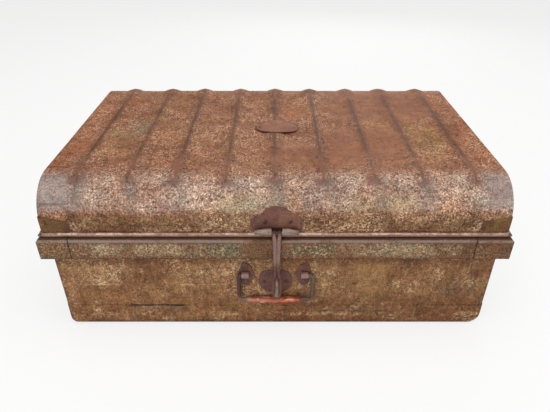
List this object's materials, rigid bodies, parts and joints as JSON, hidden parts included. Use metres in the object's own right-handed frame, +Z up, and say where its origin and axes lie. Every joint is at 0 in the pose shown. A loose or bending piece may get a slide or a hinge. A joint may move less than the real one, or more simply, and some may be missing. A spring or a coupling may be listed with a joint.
{
  "type": "storage trunk",
  "caption": "Antique sheet-iron storage trunk with a ribbed hinged lid, a padlock hasp over a staple and a drop bail handle.",
  "frame": {"origin": "middle of the underside, between the end walls and between the front and back walls", "axes": "+X along the front from left to right, +Y from the front to the back, +Z up"},
  "size_m": [0.762, 0.5373, 0.2898],
  "materials": {
    "lid_paint": "red-brown paint, speckled with rust and worn through",
    "body_paint": "dark brown paint with cream flecks and rust",
    "collar_paint": "brown paint with grey-green and cream flecks",
    "bead_paint": "pale worn paint over steel",
    "dark_iron": "dark purple-brown aged iron",
    "worn_steel": "rubbed bare steel",
    "grip_paint": "red-orange paint, chipped"
  },
  "bodies": {
    "trunk_body": {"bottom_pan": "body_paint", "front_wall": "body_paint", "back_wall": "body_paint", "left_end_wall": "body_paint", "right_end_wall": "body_paint", "collar_front": "collar_paint", "collar_back": "collar_paint", "collar_left": "collar_paint", "collar_right": "collar_paint", "staple_plate": "dark_iron", "staple": "worn_steel", "left_handle_clip": "dark_iron", "right_handle_clip": "dark_iron", "left_hinge_body_leaf": "dark_iron", "right_hinge_body_leaf": "dark_iron", "left_hinge_pin": "worn_steel", "right_hinge_pin": "worn_steel", "body_rivets": "dark_iron"},
    "lid": {"lid_sheet": "lid_paint", "lid_left_end": "lid_paint", "lid_right_end": "lid_paint", "lid_bead": "bead_paint", "lid_bead_wire": "worn_steel", "lid_gusset_front_left": "lid_paint", "lid_gusset_front_right": "lid_paint", "lid_gusset_back_left": "lid_paint", "lid_gusset_back_right": "lid_paint", "oval_plate": "dark_iron", "hasp_plate": "dark_iron", "hasp_pin": "worn_steel", "left_hinge_lid_leaf": "dark_iron", "right_hinge_lid_leaf": "dark_iron", "lid_rivets": "dark_iron"},
    "hasp": {"hasp": "dark_iron"},
    "bail": {"bail_wire": "dark_iron", "bail_grip": "grip_paint"}
  },
  "joints": [
    {"name": "lid_hinge", "type": "hinge", "parent": "trunk_body", "child": "lid", "pos_m": [0, 0.259, 0.197], "axis": [-1, 0, 0], "range_deg": [0, 105]},
    {"name": "hasp_hinge", "type": "hinge", "parent": "lid", "child": "hasp", "pos_m": [0.003, -0.252, 0.209], "axis": [-1, 0, 0], "range_deg": [0, 165]},
    {"name": "bail_pivot", "type": "hinge", "parent": "trunk_body", "child": "bail", "pos_m": [0, -0.249, 0.119], "axis": [-1, 0, 0], "range_deg": [0, 160]}
  ]
}
